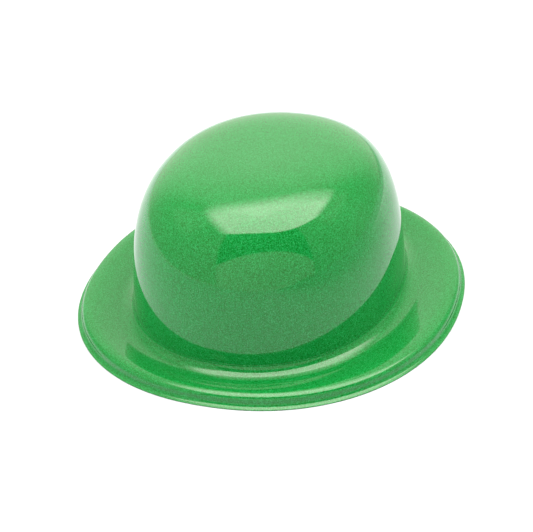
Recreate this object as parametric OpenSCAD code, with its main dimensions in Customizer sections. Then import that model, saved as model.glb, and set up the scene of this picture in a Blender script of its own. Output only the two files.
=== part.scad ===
// Bowler hat in glossy formed plastic: a domed oval crown bonded over the
// collar of a separate brim, and a foam sweatband taped inside the collar.
// Millimetres, +Z up, front towards -Y. The lip of the brim stands on Z = 0
// and the axis of the crown is the Z axis.

/* [Crown] */
// Half length of the crown at its seam, front to back
crown_half_l = 107.8; // [100:0.1:114]
// Half width of the crown at its seam, side to side
crown_half_w = 89; // [82:0.5:95]
// Height of the top of the crown above the surface the brim stands on
crown_top = 103.8; // [92:0.1:116]
// Squareness of the oval plan, where 2 is a true ellipse
oval_n = 2.15; // [2:0.01:2.4]
// Lean of the side wall, as a share of the half width over the full height
crown_draft = 0.08; // [0.02:0.005:0.12]
// How late the side wall turns over into the top
crown_turn = 3.65; // [2.8:0.05:4.2]
// How flat the top is
crown_flat = 4.3; // [2.8:0.1:4.8]

/* [Brim] */
// Overhang at the sides, from the crown's seam to the outer edge
brim_side = 40.2; // [34:0.1:46]
// Overhang at the front and back, from the crown's seam to the outer edge
brim_end = 29.5; // [26:0.1:40]
// Height of the brim's crest above the surface it stands on
brim_h = 7.7; // [7.2:0.1:10]
// Radius of the upper, tighter part of the fillet at the crown's foot
foot_r = 5.6; // [4.8:0.1:6.6]
// Radius of the lower, wider part of the fillet
foot_wide_r = 13; // [10:0.5:15]
// Tilt of the surface where the fillet changes from one radius to the other
foot_mid = 29; // [24:1:36]
// Slope at which the gutter of the brim rises towards the crest
brim_slope = 14; // [11:0.1:16]
// Length of the straight rise between the gutter and the crest
brim_rise = 9.3; // [7:0.1:11]
// Radius of the crest
crest_r = 11; // [9:0.5:14]
// Tilt at which the crest ends and the roll begins
crest_turn = 18; // [14:1:22]
// Radius of the roll at the edge of the brim
roll_r = 3.4; // [2.8:0.1:3.8]
// Angle the roll turns through before the straight of the lip
roll_turn = 82; // [78:1:85]
// Radius of the hollow flare at the foot of the lip
flare_r = 3.1; // [2.4:0.1:3.4]
// Tilt of the small flange that the flare ends in
flange_tilt = 14; // [10:1:18]
// Width of the flange
flange_w = 0.7; // [0.5:0.1:1.4]

/* [Sheet and joint] */
// Thickness of the formed sheet
sheet = 0.8; // [0.7:0.05:1.1]
// Height of the collar inside the crown
collar_h = 16; // [13:1:20]
// Film of cement between the crown and the collar
cement = 0.1; // [0.05:0.05:0.2]

/* [Sweatband] */
// Thickness of the foam strip
foam_t = 3; // [2:0.5:4]
// Height of the foam strip
foam_h = 25; // [20:1:26]
// Gap at the back where the two ends of the strip meet
foam_gap = 1.5; // [1:0.5:4]
// Thickness of the double-sided tape behind the foam
tape_t = 0.2; // [0.15:0.05:0.4]
// Height of the tape
tape_h = 12; // [8:1:12]

/* [Hidden] */
around = 72;                 // stations round the oval
crown_steps = 22;            // rings from the seam to the top
fit = 0.05;                  // play on each side of the tape
bead = 0.25;                 // round at the edge of the flange

// Profile of the brim's upper face as [overhang, height, tilt of the normal],
// from the seam outwards. An arc starts at p and turns to the tilt end: it is
// hollow where r is positive and crowned where r is negative.
function arc(p, r, end, steps) = [for (i = [1:steps]) let (t = p[2] + (end - p[2]) * i / steps)
    [p[0] + r * (sin(p[2]) - sin(t)), p[1] + r * (cos(p[2]) - cos(t)), t]];
function last(v) = v[len(v) - 1];

crown_mean = (crown_half_l + crown_half_w) / 2;
start = [0, 0, 90 - atan(crown_draft * crown_mean / (crown_top - brim_h - 3))];
foot_a = arc(start, foot_r, foot_mid, 4);
foot_b = arc(last(foot_a), foot_wide_r, -brim_slope, 5);
gutter = last(foot_b);
rise_top = gutter + [brim_rise, brim_rise * tan(brim_slope), 0];
rise_mid = (gutter + rise_top) / 2;
crest = arc(rise_top, -crest_r, crest_turn, 5);
roll = arc(last(crest), -roll_r, roll_turn, 7);

// The top of the crest sets the height of the seam, and the flange the foot
// of the lip's straight wall
seam_z = brim_h - rise_top[1] - crest_r * (1 - cos(brim_slope));
flange_z = sheet - 0.1 + flange_w * tan(flange_tilt);
wall_z = flange_z + flare_r * (cos(flange_tilt) - cos(roll_turn));
wall_o = last(roll)[0] + (seam_z + last(roll)[1] - wall_z) / tan(roll_turn);
wall = [wall_o, wall_z - seam_z, roll_turn];
flare = arc(wall, flare_r, flange_tilt, 6);
upper = concat([start], foot_a, foot_b, [rise_mid, rise_top], crest, roll, [wall], flare);
flange_o = last(flare)[0];
edge_o = flange_o + flange_w + bead;

// Half length, half width and height of the brim's ring at overhang o. The
// fillet and the roll keep their radius all round. The rise and the crest
// between them take up the difference between the sides and the ends.
inner_o = gutter[0];
outer_o = last(crest)[0];
function over(o, total) = let (reach = total - (edge_o - outer_o))
    o <= inner_o ? o :
    o >= outer_o ? o - outer_o + reach :
    inner_o + (o - inner_o) * (reach - inner_o) / (outer_o - inner_o);
function brim_ring(o, z) = [crown_half_l + over(o, brim_end), crown_half_w + over(o, brim_side), z];

// Scale of the crown's oval at height z
function rise(z) = max(0, min(1, (z - seam_z) / (crown_top - seam_z)));
function scale_at(z) = let (t = rise(z))
    (1 - crown_draft * t) * pow(max(0, 1 - pow(t, crown_turn)), 1 / crown_flat);

// One point of the oval with half length a and half width b, at angle th
function flat_pow(v) = sign(v) * pow(abs(v), 2 / oval_n);
function oval(a, b, th) = [b * flat_pow(cos(th)), a * flat_pow(sin(th))];

// Ring that follows the crown's wall, set in by d
function wall_ring(d, z) = let (s = scale_at(z))
    [crown_half_l * s - d, crown_half_w * s - d, z];

// Closed section of the brim, from the top of the collar over the seam, the
// gutter, the crest and the lip to the foot, and back along the underside
collar_top = seam_z + collar_h;
collar_d = sheet + cement;
brim_loop = concat(
    [wall_ring(collar_d, collar_top), wall_ring(collar_d, seam_z + collar_h / 2), wall_ring(collar_d, seam_z)],
    [for (p = upper) brim_ring(p[0], seam_z + p[1])],
    [brim_ring(edge_o - bead, sheet - 0.1), brim_ring(edge_o, 0.35), brim_ring(edge_o - 0.15, 0),
     brim_ring(flange_o - 0.25, 0)],
    [for (i = [len(upper) - 1:-1:1]) let (p = upper[i])
        brim_ring(p[0] - sheet * sin(p[2]), seam_z + p[1] - sheet * cos(p[2]))],
    [wall_ring(collar_d + sheet, seam_z - 0.6), wall_ring(collar_d + sheet, seam_z + collar_h / 2),
     wall_ring(collar_d + sheet, collar_top)]);

// Solid swept round the oval from a closed section of rings
module ring_solid(loop) {
    n = len(loop);
    polyhedron(
        points = [for (j = [0:around - 1]) for (r = loop)
            let (q = oval(r[0], r[1], j * 360 / around)) [q[0], q[1], r[2]]],
        faces = [for (j = [0:around - 1]) for (i = [0:n - 1])
            let (k = (j + 1) % around, h = (i + 1) % n)
            each [[j * n + i, k * n + i, k * n + h], [j * n + i, k * n + h, j * n + h]]]);
}

// The same as an open strip that stops short of the back by gap on each side
module strip_solid(loop, gap) {
    n = len(loop);
    cut = asin(gap / crown_half_w);
    function at(j) = 90 + cut + (360 - 2 * cut) * j / around;
    polyhedron(
        points = [for (j = [0:around]) for (r = loop)
            let (q = oval(r[0], r[1], at(j))) [q[0], q[1], r[2]]],
        faces = concat(
            [for (j = [0:around - 1]) for (i = [0:n - 1]) let (k = j + 1, h = (i + 1) % n)
                each [[j * n + i, k * n + i, k * n + h], [j * n + i, k * n + h, j * n + h]]],
            [for (i = [1:n - 2]) [0, i, i + 1]],
            [for (i = [1:n - 2]) [around * n, around * n + i + 1, around * n + i]]));
}

// Heights of the crown's rings: even along the wall and close at the turn
function ease(u) = pow(u, 1.7) / (pow(u, 1.7) + pow(1 - u, 1.9));
function crown_t(i) = pow(sin(90 * ease(i / crown_steps)), 2 / crown_turn);
crown_outer = [for (i = [0:crown_steps - 1])
    let (z = seam_z + (crown_top - seam_z) * crown_t(i)) [scale_at(z), z]];
// Outward normal of the crown's profile at ring i
function crown_normal(i) = let (
    a = crown_outer[max(0, i - 1)],
    b = i + 1 < crown_steps ? crown_outer[i + 1] : [0, crown_top],
    d = [(b[0] - a[0]) * crown_mean, b[1] - a[1]]) [d[1], -d[0]] / norm(d);
crown_inner = [for (i = [0:crown_steps - 1]) let (c = crown_outer[i], v = crown_normal(i))
    [crown_half_l * c[0] - sheet * v[0], crown_half_w * c[0] - sheet * v[0],
     i == 0 ? c[1] : c[1] - sheet * v[1]]];

// Domed crown, closed at the top and open at the seam
module crown() {
    n = crown_steps;
    m = 2 * n;
    color("mediumseagreen") polyhedron(
        points = concat(
            [for (j = [0:around - 1]) let (th = j * 360 / around) each concat(
                [for (c = crown_outer) let (q = oval(crown_half_l * c[0], crown_half_w * c[0], th)) [q[0], q[1], c[1]]],
                [for (c = crown_inner) let (q = oval(c[0], c[1], th)) [q[0], q[1], c[2]]])],
            [[0, 0, crown_top], [0, 0, crown_top - sheet]]),
        faces = [for (j = [0:around - 1]) let (a = j * m, b = ((j + 1) % around) * m) each concat(
            [for (i = [0:n - 2]) each [[a + i, a + i + 1, b + i + 1], [a + i, b + i + 1, b + i]]],
            [for (i = [0:n - 2]) each [[a + n + i, b + n + i + 1, a + n + i + 1], [a + n + i, b + n + i, b + n + i + 1]]],
            [[a + n - 1, around * m, b + n - 1], [a + m - 1, b + m - 1, around * m + 1]],
            [[a, b, b + n], [a, b + n, a + n]])]);
}

// Brim with its collar, fillet, gutter, crest, edge roll and flared lip
module brim() {
    color("mediumseagreen") ring_solid(brim_loop);
}

// Foam strip bent round inside the collar, ends meeting at the back
foam_d = collar_d + sheet + 2 * fit + tape_t;
foam_z = collar_top + 2 - foam_h;
foam_top = foam_z + foam_h;
module sweatband() {
    c = foam_t * 0.3;
    color("whitesmoke") strip_solid([
        wall_ring(foam_d, foam_top - c), wall_ring(foam_d, seam_z + collar_h * 0.6), wall_ring(foam_d, seam_z),
        wall_ring(foam_d, foam_z + c), wall_ring(foam_d + c, foam_z),
        wall_ring(foam_d + foam_t - c, foam_z), wall_ring(foam_d + foam_t, foam_z + c),
        wall_ring(foam_d + foam_t, seam_z), wall_ring(foam_d + foam_t, seam_z + collar_h * 0.6),
        wall_ring(foam_d + foam_t, foam_top - c), wall_ring(foam_d + foam_t - c, foam_top),
        wall_ring(foam_d + c, foam_top)], foam_gap / 2);
}

// Double-sided tape that holds the foam to the collar
tape_d = collar_d + sheet + fit;
tape_z = seam_z + (collar_h - tape_h) / 2;
module sweatband_tape() {
    color("ivory") strip_solid([
        wall_ring(tape_d, tape_z + tape_h), wall_ring(tape_d, tape_z + tape_h / 2), wall_ring(tape_d, tape_z),
        wall_ring(tape_d + tape_t, tape_z), wall_ring(tape_d + tape_t, tape_z + tape_h / 2),
        wall_ring(tape_d + tape_t, tape_z + tape_h)], 4);
}

crown();
brim();
sweatband();
sweatband_tape();
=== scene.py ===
import math

import bpy
import numpy as np
from mathutils import Matrix, Vector


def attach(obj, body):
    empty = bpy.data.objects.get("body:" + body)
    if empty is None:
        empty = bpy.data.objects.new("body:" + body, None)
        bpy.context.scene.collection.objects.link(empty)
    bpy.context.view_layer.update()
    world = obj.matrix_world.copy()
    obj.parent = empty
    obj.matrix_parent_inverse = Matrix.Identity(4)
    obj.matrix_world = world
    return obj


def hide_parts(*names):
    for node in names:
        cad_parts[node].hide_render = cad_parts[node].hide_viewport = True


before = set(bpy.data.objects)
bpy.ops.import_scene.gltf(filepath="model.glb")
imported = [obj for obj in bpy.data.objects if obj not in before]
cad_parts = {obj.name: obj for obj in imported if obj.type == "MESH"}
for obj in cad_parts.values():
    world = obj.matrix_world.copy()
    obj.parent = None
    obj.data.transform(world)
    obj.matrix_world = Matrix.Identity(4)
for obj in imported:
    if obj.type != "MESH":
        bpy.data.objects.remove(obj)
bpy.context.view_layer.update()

# ---------------------------------------------------------------------------
# Shape of the hat, in millimetres, as the construction has it
# ---------------------------------------------------------------------------
HALF_L, HALF_W, TOP, OVAL = 107.8, 89.0, 103.8, 2.15
DRAFT, TURN, FLAT = 0.08, 3.65, 4.3
SIDE, END, CREST_Z = 40.2, 29.5, 7.7
FOOT_R, FOOT_WIDE_R, FOOT_MID = 5.6, 13.0, 29.0
SLOPE, RISE, CREST_R, CREST_TURN = 14.0, 9.3, 11.0, 18.0
ROLL_R, ROLL_TURN, FLARE_R, FLANGE_TILT, FLANGE, BEAD = 3.4, 82.0, 3.1, 14.0, 0.7, 0.25
SHEET, COLLAR_H, CEMENT = 0.8, 16.0, 0.1
FOAM_T, FOAM_H, FOAM_GAP, TAPE_T, TAPE_H, FIT = 3.0, 25.0, 1.5, 0.2, 12.0, 0.05
AROUND = 240


def sind(d):
    return math.sin(math.radians(d))


def cosd(d):
    return math.cos(math.radians(d))


def arc(p, r, end, steps):
    """Points [overhang, height, tilt] of an arc from p to the tilt end: hollow for r > 0, crowned for r < 0."""
    out = []
    for i in range(1, steps + 1):
        t = p[2] + (end - p[2]) * i / steps
        out.append((p[0] + r * (sind(p[2]) - sind(t)), p[1] + r * (cosd(p[2]) - cosd(t)), t))
    return out


MEAN = (HALF_L + HALF_W) / 2
start = (0.0, 0.0, 90 - math.degrees(math.atan(DRAFT * MEAN / (TOP - CREST_Z - 3))))
foot = arc(start, FOOT_R, FOOT_MID, 12)
foot += arc(foot[-1], FOOT_WIDE_R, -SLOPE, 14)
gutter = foot[-1]
rise = [(gutter[0] + RISE * u, gutter[1] + RISE * u * math.tan(math.radians(SLOPE)), -SLOPE) for u in (0.25, 0.5, 0.75, 1)]
crest = arc(rise[-1], -CREST_R, CREST_TURN, 14)
roll = arc(crest[-1], -ROLL_R, ROLL_TURN, 18)
SEAM = CREST_Z - rise[-1][1] - CREST_R * (1 - cosd(SLOPE))
FLANGE_Z = SHEET - 0.1 + FLANGE * math.tan(math.radians(FLANGE_TILT))
WALL_Z = FLANGE_Z + FLARE_R * (cosd(FLANGE_TILT) - cosd(ROLL_TURN))
drop = SEAM + roll[-1][1] - WALL_Z
wall = [(roll[-1][0] + drop * u / math.tan(math.radians(ROLL_TURN)), roll[-1][1] - drop * u, ROLL_TURN) for u in (0.5, 1)]
flare = arc(wall[-1], FLARE_R, FLANGE_TILT, 16)
FLANGE_O = flare[-1][0]
EDGE = FLANGE_O + FLANGE + BEAD
INNER_O, OUTER_O = gutter[0], crest[-1][0]


def over(o, total):
    reach = total - (EDGE - OUTER_O)
    if o <= INNER_O:
        return o
    if o >= OUTER_O:
        return o - OUTER_O + reach
    return INNER_O + (o - INNER_O) * (reach - INNER_O) / (OUTER_O - INNER_O)


def brim_ring(o, z):
    return (HALF_L + over(o, END), HALF_W + over(o, SIDE), z)


def scale_at(z):
    t = min(1.0, max(0.0, (z - SEAM) / (TOP - SEAM)))
    return (1 - DRAFT * t) * max(0.0, 1 - t ** TURN) ** (1 / FLAT)


def wall_ring(d, z):
    s = scale_at(z)
    return (HALF_L * s - d, HALF_W * s - d, z)


def oval(a, b, th):
    c, s = np.cos(th), np.sin(th)
    return b * np.sign(c) * np.abs(c) ** (2 / OVAL), a * np.sign(s) * np.abs(s) ** (2 / OVAL)


# ---------------------------------------------------------------------------
# Meshes
# ---------------------------------------------------------------------------
def add_mesh(name, verts, faces, face_mats, mats, smooth=True):
    me = bpy.data.meshes.new(name)
    me.from_pydata([tuple(float(c) * 0.001 for c in v) for v in verts], [], faces)
    for m in mats:
        me.materials.append(m)
    me.polygons.foreach_set("material_index", np.array(face_mats, dtype=np.int32))
    me.polygons.foreach_set("use_smooth", np.full(len(faces), smooth, dtype=bool))
    me.validate()
    me.update()
    ob = bpy.data.objects.new(name, me)
    bpy.context.scene.collection.objects.link(ob)
    return ob


def sweep(rings, closed, n=AROUND):
    """Vertices and quads of rings (half length, half width, height) swept round the oval."""
    th = np.arange(n) * 2 * math.pi / n
    verts = []
    for a, b, z in rings:
        x, y = oval(a, b, th)
        verts += list(zip(x, y, np.full(n, z)))
    faces, rows = [], []
    m = len(rings)
    for i in range(m if closed else m - 1):
        h = (i + 1) % m
        for j in range(n):
            k = (j + 1) % n
            faces.append((i * n + j, h * n + j, h * n + k, i * n + k))
            rows.append(i)
    return verts, faces, rows


def ease(u):
    return u ** 1.7 / (u ** 1.7 + (1 - u) ** 1.9)


def crown_mesh(mats):
    steps = 84
    prof = []
    for i in range(steps):
        t = sind(90 * ease(i / steps)) ** (2 / TURN)
        z = SEAM + (TOP - SEAM) * t
        prof.append((scale_at(z), z))
    normals = []
    for i in range(steps):
        a = prof[max(0, i - 1)]
        b = prof[i + 1] if i + 1 < steps else (0.0, TOP)
        d = ((b[0] - a[0]) * MEAN, b[1] - a[1])
        k = math.hypot(*d)
        normals.append((d[1] / k, -d[0] / k))
    e = 0.12                                   # round along the foot of the wall
    outer = [(HALF_L - e, HALF_W - e, SEAM), (HALF_L - 0.3 * e, HALF_W - 0.3 * e, SEAM + 0.3 * e)]
    outer += [wall_ring(0, SEAM + e), wall_ring(0, SEAM + 0.5)]
    outer += [(HALF_L * s, HALF_W * s, z) for s, z in prof if z > SEAM + 1.0]
    inner = []
    for (s, z), v in zip(prof, normals):
        if z > SEAM + 1.0:
            inner.append((HALF_L * s - SHEET * v[0], HALF_W * s - SHEET * v[0], z - SHEET * v[1]))
    inner = [wall_ring(SHEET, SEAM), wall_ring(SHEET, SEAM + 0.5)] + inner
    n = AROUND
    rings = outer[::-1] + inner                # from the top outside, over the foot, to the top inside
    verts, faces, rows = sweep(rings, False)
    top_o, top_i = len(verts), len(verts) + 1
    verts += [(0, 0, TOP), (0, 0, TOP - SHEET)]
    face_mats = [0 if r < len(outer) - 1 else 1 for r in rows]
    last = (len(rings) - 1) * n
    for j in range(n):
        k = (j + 1) % n
        faces.append((j, k, top_o)); face_mats.append(0)
        faces.append((last + k, last + j, top_i)); face_mats.append(1)
    return add_mesh("crown_shell", verts, faces, face_mats, mats)


def brim_mesh(mats):
    cd = SHEET + CEMENT
    collar_top = SEAM + COLLAR_H
    e = 0.12
    loop, mat = [], []

    def put(ring, m):
        loop.append(ring)
        mat.append(m)

    for z in (collar_top - 0.1, SEAM + 12, SEAM + 8, SEAM + 4, SEAM + 0.3, SEAM):
        put(wall_ring(cd, z), 1)
    put((HALF_L - 2 * e, HALF_W - 2 * e, SEAM), 0)
    put((HALF_L - e, HALF_W - e, SEAM), 0)
    put((HALF_L - 0.3 * e, HALF_W - 0.3 * e, SEAM - 0.3 * e), 0)
    put((HALF_L + 0.01, HALF_W + 0.01, SEAM - e), 0)
    face = foot + rise + crest + roll + wall + flare
    for o, z, t in face:
        put(brim_ring(o, SEAM + z), 0)
    tan_f = math.tan(math.radians(FLANGE_TILT))
    for u in (0.4, 0.8, 1.0):
        put(brim_ring(FLANGE_O + FLANGE * u, FLANGE_Z - FLANGE * u * tan_f), 0)
    h = (SHEET - 0.1) / 2                      # rounded trimmed edge
    for i in range(1, 10):
        t = 90 - FLANGE_TILT - (180 - FLANGE_TILT) * i / 9
        put(brim_ring(EDGE - BEAD + BEAD * cosd(t), h + h * sind(t)), 0)
    put(brim_ring(FLANGE_O - 0.2, 0.0), 1)
    put(brim_ring(FLANGE_O - 0.25, 0.05), 1)
    for o, z, t in face[::-1][:-2]:
        put(brim_ring(o - SHEET * sind(t), SEAM + z - SHEET * cosd(t)), 1)
    for z in (SEAM - 0.6, SEAM + 0.2, SEAM + 4, SEAM + 8, SEAM + 12, collar_top - 0.1):
        put(wall_ring(cd + SHEET, z), 1)
    put(wall_ring(cd + SHEET - 0.1, collar_top), 1)
    put(wall_ring(cd + 0.1, collar_top), 1)
    verts, faces, rows = sweep(loop, True)
    return add_mesh("brim_shell", verts, faces, [mat[i] for i in rows], mats)


def smooth_noise(rng, u, periods):
    """Sum of a few low waves with seeded phases, about -1 to 1."""
    v = np.zeros_like(u)
    for p in periods:
        v += rng.uniform(0.5, 1.0) * np.sin(2 * math.pi * (p * u) + rng.uniform(0, 2 * math.pi))
    return v / len(periods)


def strip_mesh(name, section, gap, mats, face_mat, n, wobble=None):
    """Open strip that follows the crown's wall. section is a closed list of (inset, height)."""
    cut = math.asin(gap / HALF_W)
    u = np.arange(n + 1) / n
    th = math.pi / 2 + cut + (2 * math.pi - 2 * cut) * u
    m = len(section)
    verts = np.zeros((n + 1, m, 3))
    for i, (d, z) in enumerate(section):
        dd, zz = np.full(n + 1, d), np.full(n + 1, z)
        if wobble is not None:
            a, b = wobble(i, u)
            dd, zz = dd + a, zz + b
        s = np.array([scale_at(v) for v in zz])
        x, y = oval(HALF_L * s - dd, HALF_W * s - dd, th)
        verts[:, i, 0], verts[:, i, 1], verts[:, i, 2] = x, y, zz
    faces, fm = [], []
    for j in range(n):
        for i in range(m):
            h = (i + 1) % m
            faces.append((j * m + i, j * m + h, (j + 1) * m + h, (j + 1) * m + i))
            fm.append(face_mat(i))
    faces.append(tuple(range(m))[::-1])
    fm.append(face_mat(-1))
    faces.append(tuple(n * m + i for i in range(m)))
    fm.append(face_mat(-1))
    return add_mesh(name, [tuple(v) for v in verts.reshape(-1, 3)], faces, fm, mats)


# ---------------------------------------------------------------------------
# Materials
# ---------------------------------------------------------------------------
class Nodes:
    def __init__(self, name):
        self.mat = bpy.data.materials.new(name)
        self.mat.use_nodes = True
        self.t = self.mat.node_tree
        self.bsdf = self.t.nodes["Principled BSDF"]
        self.xyz = self.t.nodes.new("ShaderNodeTexCoord").outputs["Object"]

    def new(self, kind, **props):
        node = self.t.nodes.new(kind)
        for k, v in props.items():
            setattr(node, k, v)
        return node

    def link(self, a, b):
        self.t.links.new(a, b)

    def noise(self, scale, detail=2.0, rough=0.5, vec=None):
        n = self.new("ShaderNodeTexNoise")
        n.inputs["Scale"].default_value = scale
        n.inputs["Detail"].default_value = detail
        n.inputs["Roughness"].default_value = rough
        self.link(vec or self.xyz, n.inputs["Vector"])
        return n.outputs["Fac"]

    def voronoi(self, scale, feature="F1", vec=None):
        n = self.new("ShaderNodeTexVoronoi", feature=feature)
        n.inputs["Scale"].default_value = scale
        self.link(vec or self.xyz, n.inputs["Vector"])
        return n

    def span(self, value, lo, hi, to_lo, to_hi):
        n = self.new("ShaderNodeMapRange")
        for k, v in (("From Min", lo), ("From Max", hi), ("To Min", to_lo), ("To Max", to_hi)):
            n.inputs[k].default_value = v
        self.link(value, n.inputs["Value"])
        return n.outputs["Result"]

    def math(self, op, a, b):
        n = self.new("ShaderNodeMath", operation=op)
        for i, v in enumerate((a, b)):
            if isinstance(v, (int, float)):
                n.inputs[i].default_value = v
            else:
                self.link(v, n.inputs[i])
        return n.outputs[0]

    def mix(self, fac, a, b):
        n = self.new("ShaderNodeMix", data_type="RGBA")
        for k, v in ((0, fac), (6, a), (7, b)):
            if isinstance(v, (int, float, tuple)):
                n.inputs[k].default_value = v
            else:
                self.link(v, n.inputs[k])
        return n.outputs[2]

    def vec(self, op, a, b):
        n = self.new("ShaderNodeVectorMath", operation=op)
        for i, v in enumerate((a, b)):
            if v is None:
                continue
            if isinstance(v, tuple):
                n.inputs[i].default_value = v
            else:
                self.link(v, n.inputs[i])
        return n.outputs[0]

    def scaled(self, a, k):
        n = self.new("ShaderNodeVectorMath", operation="SCALE")
        self.link(a, n.inputs[0])
        n.inputs["Scale"].default_value = k
        return n.outputs[0]

    def bump(self, height, strength, distance, normal=None):
        n = self.new("ShaderNodeBump")
        n.inputs["Strength"].default_value = strength
        n.inputs["Distance"].default_value = distance
        self.link(height, n.inputs["Height"])
        if normal is not None:
            self.link(normal, n.inputs["Normal"])
        return n.outputs["Normal"]


def green_outside():
    m = Nodes("pearl_green_plastic")
    p = m.bsdf.inputs
    geo = m.new("ShaderNodeNewGeometry").outputs["Normal"]
    # pearl flakes under the clear surface: each cell leans its own way and has its own brightness
    flake = m.voronoi(2600.0)
    lean = m.scaled(m.vec("SUBTRACT", flake.outputs["Color"], (0.5, 0.5, 0.5)), 0.5)
    m.link(m.vec("NORMALIZE", m.vec("ADD", geo, lean), None), p["Normal"])
    sep = m.new("ShaderNodeSeparateColor")
    m.link(flake.outputs["Color"], sep.inputs[0])
    cloud = m.noise(38.0, 3.0, 0.55)
    tone = m.math("ADD", m.span(sep.outputs[1], 0, 1, -0.62, 0.62), m.span(cloud, 0.3, 0.7, 0.44, 0.56))
    base = m.mix(tone, (0.0004, 0.140, 0.010, 1), (0.0090, 0.259, 0.054, 1))
    # one flake in ten is pale: real pearl flakes, with their sparkle painted into the colour as painted glints
    pale = m.span(sep.outputs[2], 0.88, 0.92, 0, 1)
    m.link(m.mix(pale, base, (0.023, 0.285, 0.077, 1)), p["Base Color"])
    m.link(m.span(m.noise(520.0, 2.0), 0.3, 0.7, 0.40, 0.52), p["Roughness"])
    p["Metallic"].default_value = 0.0
    p["Coat Weight"].default_value = 1.0
    p["Coat Roughness"].default_value = 0.02
    p["Coat IOR"].default_value = 1.55
    p["Specular IOR Level"].default_value = 0.0
    # faint orange peel of the formed sheet in the clear surface
    peel = m.bump(m.noise(900.0, 2.0), 0.10, 0.00001)
    peel = m.bump(m.noise(70.0, 1.0), 0.05, 0.00006, peel)
    m.link(peel, p["Coat Normal"])
    return m.mat


def green_inside():
    m = Nodes("green_plastic_inside")
    p = m.bsdf.inputs
    flake = m.voronoi(1500.0)
    sep = m.new("ShaderNodeSeparateColor")
    m.link(flake.outputs["Color"], sep.inputs[0])
    cloud = m.noise(30.0, 3.0, 0.6)
    tone = m.math("ADD", m.span(sep.outputs[0], 0, 1, -0.2, 0.2), m.span(cloud, 0.3, 0.7, 0.35, 0.65))
    m.link(m.mix(tone, (0.008, 0.20, 0.034, 1), (0.022, 0.33, 0.07, 1)), p["Base Color"])
    m.link(m.span(m.noise(300.0, 3.0), 0.3, 0.7, 0.34, 0.5), p["Roughness"])
    m.link(m.bump(m.noise(650.0, 3.0), 0.25, 0.0002), p["Normal"])
    p["Metallic"].default_value = 0.1
    p["Coat Weight"].default_value = 0.25
    p["Coat Roughness"].default_value = 0.25
    return m.mat


def foam_face():
    m = Nodes("sweatband_knit")
    p = m.bsdf.inputs
    uv = m.new("ShaderNodeUVMap", uv_map="strip").outputs["UV"]
    # knitted facing: rows of small V stitches, in strip coordinates of one unit a stitch
    sep = m.new("ShaderNodeSeparateXYZ")
    m.link(uv, sep.inputs[0])
    lean = m.math("PINGPONG", sep.outputs[0], 0.5)
    row = m.math("FRACT", m.math("ADD", sep.outputs[1], m.math("MULTIPLY", lean, 0.9)), 0.0)
    loop = m.math("PINGPONG", row, 0.5)
    rib = m.math("PINGPONG", m.math("ADD", sep.outputs[0], 0.25), 0.25)
    height = m.math("ADD", m.math("MULTIPLY", loop, 1.1), m.math("MULTIPLY", rib, 1.6))
    fuzz = m.noise(2400.0, 3.0, 0.6)
    height = m.math("ADD", height, m.math("MULTIPLY", fuzz, 0.35))
    # painted shade: the yarn is darker where the stitch height is low, in the grooves between loops and ribs, with a
    # random tone on top
    painted_stitch_shade_and_tone = m.math("ADD", m.span(height, 0.1, 1.1, 0.15, 0.85), m.span(m.noise(60.0, 3.0), 0.3, 0.7, -0.15, 0.15))
    m.link(m.mix(painted_stitch_shade_and_tone, (0.60, 0.60, 0.56, 1), (0.86, 0.86, 0.83, 1)), p["Base Color"])
    m.link(m.span(fuzz, 0.3, 0.7, 0.82, 0.96), p["Roughness"])
    m.link(m.bump(height, 0.6, 0.00025), p["Normal"])
    p["Sheen Weight"].default_value = 0.25
    p["Sheen Roughness"].default_value = 0.5
    p["Specular IOR Level"].default_value = 0.2
    return m.mat


def foam_cut():
    m = Nodes("sweatband_foam")
    p = m.bsdf.inputs
    cells = m.voronoi(1700.0)
    pores = m.voronoi(700.0)
    h = m.math("ADD", cells.outputs["Distance"], m.math("MULTIPLY", pores.outputs["Distance"], 0.6))
    # painted shade: the foam is darker down in its cells and pores, in step with the bump depth
    m.link(m.mix(m.span(h, 0.1, 1.0, 0, 1), (0.80, 0.78, 0.70, 1), (0.50, 0.48, 0.41, 1)), p["Base Color"])
    m.link(m.span(h, 0.0, 1.0, 0.85, 0.98), p["Roughness"])
    m.link(m.bump(h, 0.8, -0.0003), p["Normal"])
    p["Specular IOR Level"].default_value = 0.15
    return m.mat


def tape_film():
    m = Nodes("tape_film")
    p = m.bsdf.inputs
    fibre = m.noise(900.0, 4.0, 0.65)
    m.link(m.mix(m.span(fibre, 0.35, 0.65, 0, 1), (0.72, 0.68, 0.56, 1), (0.88, 0.85, 0.76, 1)), p["Base Color"])
    m.link(m.span(m.noise(240.0, 2.0), 0.3, 0.7, 0.35, 0.6), p["Roughness"])
    m.link(m.bump(fibre, 0.3, 0.0001), p["Normal"])
    return m.mat


ALPHA = math.radians(19.36)                     # bearing of the camera from the hat's front, to its left


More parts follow.
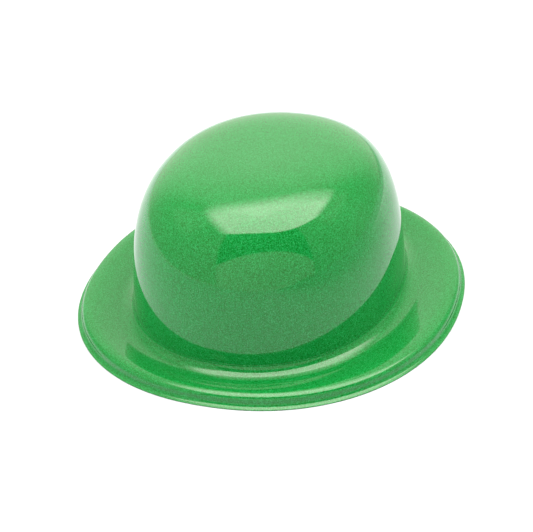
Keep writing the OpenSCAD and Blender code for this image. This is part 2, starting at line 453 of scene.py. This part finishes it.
def floor_painted_light():
    m = Nodes("pale_floor")
    p = m.bsdf.inputs
    away = m.new("ShaderNodeVectorMath", operation="DOT_PRODUCT")
    m.link(m.xyz, away.inputs[0])
    away.inputs[1].default_value = (-math.sin(ALPHA), math.cos(ALPHA), 0.0)
    # painted light: the floor is paler towards the back, standing in for light from behind, with a faint random tone
    # on top
    tone = m.math("ADD", m.span(away.outputs["Value"], -0.25, 0.35, 0.0, 0.92), m.span(m.noise(3.0, 2.0), 0.3, 0.7, 0.0, 0.08))
    pale = m.mix(tone, (0.515, 0.531, 0.592, 1), (0.70, 0.722, 0.805, 1))
    aside = m.new("ShaderNodeVectorMath", operation="DOT_PRODUCT")
    m.link(m.xyz, aside.inputs[0])
    aside.inputs[1].default_value = (math.cos(ALPHA), math.sin(ALPHA), 0.0)
    u = m.span(aside.outputs["Value"], 0.06, 0.42, 0.0, 1.0)
    ease = m.math("MULTIPLY", m.math("MULTIPLY", u, u), m.math("SUBTRACT", 3.0, m.math("MULTIPLY", u, 2.0)))
    # painted shade: the floor darkens to the right of the hat, most towards the front, and beyond about half a metre
    # to the right it is about half as bright
    painted_shade_right = m.math("MULTIPLY", ease, m.span(away.outputs["Value"], 0.0, 0.25, 0.5, 0.12))
    painted_shade_right = m.math("MAXIMUM", painted_shade_right, m.span(aside.outputs["Value"], 0.46, 0.56, 0.0, 0.52))
    m.link(m.mix(painted_shade_right, pale, (0.0, 0.0, 0.0, 1)), p["Base Color"])
    p["Roughness"].default_value = 0.9
    p["Specular IOR Level"].default_value = 0.1
    return m.mat


# ---------------------------------------------------------------------------
# Pieces
# ---------------------------------------------------------------------------
plastic = [green_outside(), green_inside()]
crown = crown_mesh(plastic)
brim = brim_mesh(plastic)

rng = np.random.default_rng(7)
foam_d = SHEET * 2 + CEMENT + 2 * FIT + TAPE_T
foam_z = SEAM + COLLAR_H + 2 - FOAM_H
half = FOAM_H / 2
section, on_face = [], []
for i in range(7):                              # back of the strip, top to bottom, against the tape
    section.append((foam_d, foam_z + FOAM_H - 0.7 - (FOAM_H - 1.4) * i / 6)); on_face.append(False)
for t in (200, 235, 270):                       # lower back round
    section.append((foam_d + 0.7 + 0.7 * cosd(t), foam_z + 0.7 + 0.7 * sind(t))); on_face.append(False)
for t in (270, 295, 320, 345):                  # lower front round
    section.append((foam_d + FOAM_T - 1.3 + 0.9 * cosd(t), foam_z + 0.9 + 0.9 * sind(t))); on_face.append(t > 300)
for i in range(1, 12):                          # crowned face towards the head
    v = -1 + 2 * i / 12
    section.append((foam_d + FOAM_T - 0.4 * v * v * v * v - 0.05, foam_z + half + v * (half - 0.9))); on_face.append(True)
for t in (15, 40, 65, 90):                      # upper front round
    section.append((foam_d + FOAM_T - 1.3 + 0.9 * cosd(t), foam_z + FOAM_H - 0.9 + 0.9 * sind(t))); on_face.append(t < 60)
for t in (90, 125, 160):                        # upper back round
    section.append((foam_d + 0.7 + 0.7 * cosd(t), foam_z + FOAM_H - 0.7 + 0.7 * sind(t))); on_face.append(False)

WAVES = [[rng.permutation(np.arange(5, 61))[:6] for _ in range(3)] for _ in range(2)]
PHASE = np.random.default_rng(11)
_cache = {}


def foam_wobble(i, u):
    """Soft unevenness of the strip: the face swells and dips, and the edges wander a little."""
    if "w" not in _cache:
        _cache["w"] = [smooth_noise(PHASE, u, p) for p in (WAVES[0][0], WAVES[0][1], WAVES[1][0], WAVES[1][1])]
    face, face2, top, bottom = _cache["w"]
    d, z = section[i]
    v = (z - foam_z - half) / half
    depth = (d - foam_d) / FOAM_T
    dd = -depth * (0.22 * np.abs(face) * (1 - 0.6 * v * v) + 0.12 * face2 * v)
    zz = np.where(v > 0, top, bottom) * 0.35 * abs(v) ** 3
    return dd, np.minimum(zz, 0.0) if v > 0 else np.maximum(zz, 0.0)


band = strip_mesh("sweatband_strip", section, FOAM_GAP / 2, [foam_face(), foam_cut()],
                  lambda i: 0 if i >= 0 and on_face[i] and on_face[(i + 1) % len(section)] else 1, 320, foam_wobble)
# strip coordinates, one unit a stitch: 1.1 mm along and 0.9 mm up
uv = band.data.uv_layers.new(name="strip")
m = len(section)
length = 594.0
coords = np.zeros((len(band.data.loops), 2), dtype=np.float32)
idx = np.zeros(len(band.data.loops), dtype=np.int32)
band.data.loops.foreach_get("vertex_index", idx)
coords[:, 0] = (idx // m) / 320 * length / 1.1
coords[:, 1] = np.array([z for _, z in section])[idx % m] / 0.9
uv.data.foreach_set("uv", coords.ravel())

tape_d = SHEET * 2 + CEMENT + FIT
tape_z = SEAM + (COLLAR_H - TAPE_H) / 2
tape_section = [(tape_d, tape_z + TAPE_H * (1 - i / 8)) for i in range(9)]
tape_section += [(tape_d + TAPE_T, tape_z + TAPE_H * i / 8) for i in range(9)]
TAPE_P = smooth_noise(np.random.default_rng(3), np.arange(241) / 240, (7, 13, 23, 41))


def tape_wobble(i, u):
    edge = i % 9 in (0, 8)
    return np.zeros_like(u), (0.2 * np.abs(TAPE_P) * (-1 if i in (0, 17) else 1) if edge else np.zeros_like(u))


tape = strip_mesh("tape_strip", tape_section, 4.0, [tape_film()], lambda i: 0, 240, tape_wobble)

for piece, node, slot in ((crown, "crown", "green_plastic"), (brim, "brim", "green_plastic"),
                          (band, "sweatband", "foam"), (tape, "sweatband_tape", "tape")):
    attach(piece, "root")
    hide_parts(node)

# ---------------------------------------------------------------------------
# Stage, light and camera
# ---------------------------------------------------------------------------
# pale table with painted light and shade in its colour: paler towards the back, and dimmer from half a metre to the
# right of the hat, as its mirror image in the crown shows
corners = []
for to_right, to_back in ((-1700, -1500), (1900, -1500), (1900, 1700), (-1700, 1700)):
    corners.append((to_right * math.cos(ALPHA) - to_back * math.sin(ALPHA),
                    to_right * math.sin(ALPHA) + to_back * math.cos(ALPHA), 0))
floor = add_mesh("floor", corners, [(0, 1, 2, 3)], [0], [floor_painted_light()])

ELEV, DIST, ROLL = math.radians(31.365), 791.0, math.radians(3.647)
back = Vector((math.sin(ALPHA) * math.cos(ELEV), -math.cos(ALPHA) * math.cos(ELEV), math.sin(ELEV)))
right = Vector((math.cos(ALPHA), math.sin(ALPHA), 0))
up = back.cross(right)
eye = (right * -3.401 + Vector((0, 0, 15.374)) + back * DIST) * 0.001
r2 = right * math.cos(ROLL) - up * math.sin(ROLL)
u2 = right * math.sin(ROLL) + up * math.cos(ROLL)
cam = bpy.data.cameras.new("camera")
cam.sensor_fit = "HORIZONTAL"
cam.sensor_width = 36.0
cam.lens = 1164.8 * 36.0 / 533.0
cam.clip_start, cam.clip_end = 0.01, 50.0
cam_ob = bpy.data.objects.new("camera", cam)
cam_ob.matrix_world = Matrix(((r2.x, u2.x, back.x, eye.x), (r2.y, u2.y, back.y, eye.y),
                              (r2.z, u2.z, back.z, eye.z), (0, 0, 0, 1)))
bpy.context.scene.collection.objects.link(cam_ob)
bpy.context.scene.camera = cam_ob

flat_back = Vector((math.sin(ALPHA), -math.cos(ALPHA), 0))     # level direction from the hat to the camera


WARM = (1.0, 0.97, 0.87)


def soft_box(name, centre, target, w, h, radiance, mirrored=True):
    """Rectangular soft light of even radiance, facing its target, level along its width."""
    li = bpy.data.lights.new(name, "AREA")
    li.shape = "RECTANGLE"
    li.size, li.size_y = w, h
    li.energy = radiance * math.pi * w * h
    ob = bpy.data.objects.new(name, li)
    z = (Vector(centre) - Vector(target)).normalized()
    x = right.copy() if abs(z.z) > 0.9 else Vector((0, 0, 1)).cross(z).normalized()
    y = z.cross(x).normalized()
    x = y.cross(z)
    c = Vector(centre)
    ob.matrix_world = Matrix(((x.x, y.x, z.x, c.x), (x.y, y.y, z.y, c.y), (x.z, y.z, z.z, c.z), (0, 0, 0, 1)))
    bpy.context.scene.collection.objects.link(ob)
    ob.visible_camera = False
    ob.visible_glossy = mirrored
    return ob


def bearing(az, el, d):
    """Point at distance d, az degrees to the right of the camera's side and el degrees up."""
    return tuple((flat_back * cosd(az) + right * sind(az)) * cosd(el) * d + Vector((0, 0, sind(el) * d)))


over_c = right * 0.40 - flat_back * 0.20 + Vector((0, 0, 2.6))
overhead = soft_box("overhead", tuple(over_c), tuple(over_c - Vector((0, 0, 1))), 4.2, 3.2, 5.45)
# its diffuser has soft edges, a rounded corner at the front right and a fade to the back
overhead.data.color = WARM
overhead.data.use_nodes = True
lt = overhead.data.node_tree
emit = next(n for n in lt.nodes if n.type == "EMISSION")
par = lt.nodes.new("ShaderNodeNewGeometry").outputs["Parametric"]
split = lt.nodes.new("ShaderNodeSeparateXYZ")
lt.links.new(par, split.inputs[0])


def lmath(op, a, b=0.0):
    n = lt.nodes.new("ShaderNodeMath")
    n.operation = op
    for i, v in enumerate((a, b)):
        if isinstance(v, (int, float)):
            n.inputs[i].default_value = v
        else:
            lt.links.new(v, n.inputs[i])
    return n.outputs[0]


def fall(v, full, end, kind="SMOOTHSTEP"):
    """1 up to full, falling to 0 at end."""
    n = lt.nodes.new("ShaderNodeMapRange")
    n.interpolation_type = kind
    lt.links.new(v, n.inputs["Value"])
    for k, x in (("From Min", end), ("From Max", full), ("To Min", 0.0), ("To Max", 1.0)):
        n.inputs[k].default_value = x
    return n.outputs["Result"]


sideways = lmath("MULTIPLY", lmath("SUBTRACT", split.outputs[0], 0.5), 2.0)
aside = lmath("ABSOLUTE", sideways)
behind = lmath("MULTIPLY", lmath("SUBTRACT", split.outputs[1], 0.5), 2.0)
glow = lmath("MULTIPLY", fall(aside, 0.66, 0.92), fall(behind, 0.35, 1.03, "LINEAR"))
edge = lmath("ADD", behind, lmath("MULTIPLY", sideways, 0.14))
cut = lmath("SUBTRACT", lmath("MULTIPLY", sideways, 1.475), behind)
near_edge = lmath("MAXIMUM", lmath("DIVIDE", lmath("SUBTRACT", -0.50, edge), 0.40), 0.0)
near_cut = lmath("MAXIMUM", lmath("DIVIDE", lmath("SUBTRACT", cut, 0.90), 0.58), 0.0)
corner_in = lmath("SQRT", lmath("ADD", lmath("MULTIPLY", near_edge, near_edge), lmath("MULTIPLY", near_cut, near_cut)))
glow = lmath("MULTIPLY", glow, fall(corner_in, 0.86, 1.10))
to_left = lmath("MULTIPLY", lmath("SUBTRACT", 0.5, split.outputs[0]), 1.7)
glow = lmath("MULTIPLY", glow, fall(lmath("ADD", to_left, behind), 0.55, 1.35))
lt.links.new(glow, emit.inputs["Strength"])
# low lights at the sides, which fill the walls and are not seen mirrored
soft_box("fill_left", bearing(-74, 8, 2.6), (0, 0, 0.04), 1.8, 1.5, 5.2, False)
soft_box("fill_right", bearing(74, 8, 2.6), (0, 0, 0.04), 1.8, 1.5, 4.4, False)

world = bpy.data.worlds.new("studio")
bpy.context.scene.world = world
world.use_nodes = True
wt = world.node_tree
bg = wt.nodes["Background"]
tc = wt.nodes.new("ShaderNodeTexCoord").outputs["Generated"]


def wnode(kind, **props):
    n = wt.nodes.new(kind)
    for k, v in props.items():
        setattr(n, k, v)
    return n


def wmath(op, a, b=0.0, c=None):
    n = wnode("ShaderNodeMath", operation=op)
    for i, v in enumerate((a, b, c)):
        if v is None:
            continue
        if isinstance(v, (int, float)):
            n.inputs[i].default_value = v
        else:
            wt.links.new(v, n.inputs[i])
    return n.outputs[0]


def wstep(v, lo, hi):
    n = wnode("ShaderNodeMapRange", interpolation_type="SMOOTHSTEP")
    wt.links.new(v, n.inputs["Value"])
    n.inputs["From Min"].default_value = lo
    n.inputs["From Max"].default_value = hi
    return n.outputs["Result"]


def wdot(vec):
    n = wnode("ShaderNodeVectorMath", operation="DOT_PRODUCT")
    wt.links.new(tc, n.inputs[0])
    n.inputs[1].default_value = tuple(vec)
    return n.outputs["Value"]


toward = wdot(flat_back)                        # 1 towards the camera's side of the room
across = wdot(right)
height = wdot((0, 0, 1))
level = wmath("SQRT", wmath("MAXIMUM", wmath("SUBTRACT", 1.0, wmath("MULTIPLY", height, height)), 1e-4))
facing = wmath("DIVIDE", toward, level)         # cosine of the bearing from the camera's side
elev = wmath("MULTIPLY", wmath("ARCSINE", wmath("MINIMUM", wmath("MAXIMUM", height, -1.0), 1.0)), 180 / math.pi)
# pale backdrop behind the hat, dimmer walls to the sides and towards the camera
backdrop = wmath("SUBTRACT", 1.0, wstep(facing, -0.97, -0.62))
light = wmath("ADD", 0.60, wmath("MULTIPLY", backdrop, 0.64))
light = wmath("SUBTRACT", light, wmath("MULTIPLY", wmath("MULTIPLY", across, wmath("MAXIMUM", toward, 0.0)), 0.30))
corner = wmath("MULTIPLY", wstep(facing, -0.80, -0.60), wmath("SUBTRACT", 1.0, wstep(facing, -0.50, -0.25)))
corner = wmath("MULTIPLY", corner, wmath("SUBTRACT", 1.0, wstep(elev, 28.0, 44.0)))
light = wmath("SUBTRACT", light, wmath("MULTIPLY", corner, wmath("ADD", 0.10, wmath("MULTIPLY", across, 0.08))))
# paler upper side walls
upper = wmath("MULTIPLY", wstep(elev, 26.0, 40.0), wmath("SUBTRACT", 1.0, wstep(elev, 60.0, 75.0)))
upper = wmath("MULTIPLY", upper, wmath("MULTIPLY", wstep(facing, -0.62, -0.45), wmath("SUBTRACT", 1.0, wstep(facing, 0.0, 0.3))))
light = wmath("ADD", light, wmath("MULTIPLY", upper, 0.36))
# the dark opening that the camera looks through, over a low pale card with a rounded top
ahead = wmath("MAXIMUM", toward, 0.02)
px = wmath("DIVIDE", across, ahead)
py = wmath("DIVIDE", height, ahead)
qx = wmath("SUBTRACT", px, 0.08)
card_top = wmath("SUBTRACT", 0.76, wmath("MULTIPLY", wmath("MULTIPLY", qx, qx), 0.42))
over_card = wstep(wmath("SUBTRACT", py, card_top), -0.04, 0.04)
left_of = wmath("ADD", px, wmath("ADD", wmath("MULTIPLY", py, 0.165), 0.78))
right_of = wmath("SUBTRACT", px, wmath("ADD", wmath("MULTIPLY", py, 0.115), 1.13))
inside = wmath("MULTIPLY", wstep(left_of, -0.05, 0.05), wmath("SUBTRACT", 1.0, wstep(right_of, -0.06, 0.06)))
inside = wmath("MULTIPLY", inside, wstep(toward, 0.02, 0.05))
opening = wmath("MULTIPLY", inside, over_card)
card = wmath("MULTIPLY", inside, wmath("SUBTRACT", 1.0, over_card))
light = wmath("MULTIPLY", light, wmath("SUBTRACT", 1.0, wmath("MULTIPLY", opening, 0.86)))
light = wmath("ADD", light, wmath("MULTIPLY", card, 0.42))
below = wmath("SUBTRACT", 1.0, wstep(elev, -1.0, 0.0))
ground = wmath("SUBTRACT", 1.15, wmath("MULTIPLY", wstep(across, 0.30, 0.60), 0.60))
light = wmath("ADD", wmath("MULTIPLY", light, wmath("SUBTRACT", 1.0, below)), wmath("MULTIPLY", below, ground))
wt.links.new(light, bg.inputs["Strength"])
bg.inputs["Color"].default_value = (*WARM, 1)

bpy.context.scene.view_settings.view_transform = "Standard"
